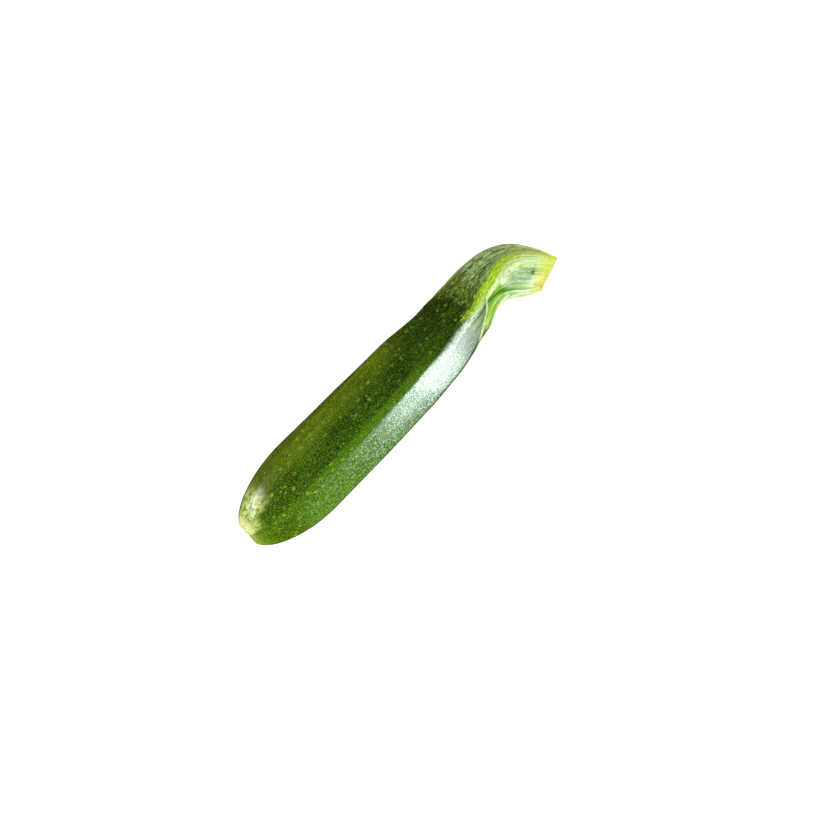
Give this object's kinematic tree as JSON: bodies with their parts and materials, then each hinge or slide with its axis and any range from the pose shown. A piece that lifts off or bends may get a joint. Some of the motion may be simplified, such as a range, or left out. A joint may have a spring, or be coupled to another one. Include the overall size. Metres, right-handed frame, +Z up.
{
  "type": "courgette",
  "caption": "Whole courgette lying on its side: a speckled green fruit with five blunt ribs, a blossom scar and a curved, ribbed, cut stem.",
  "frame": {"origin": "on the surface it lies on, under the middle of the whole courgette's box", "axes": "+X from the blossom end towards the cut end of the stem, along the whole length; +Z up; the stem's cut end bends towards -Y"},
  "size_m": [0.214, 0.0522, 0.0426],
  "materials": {
    "fruit_skin": "waxy, semi-gloss, flecked",
    "stem_skin": "fibrous, satin, streaked"
  },
  "bodies": {
    "root": {"fruit": "fruit_skin", "stem": "stem_skin"}
  },
  "joints": []
}
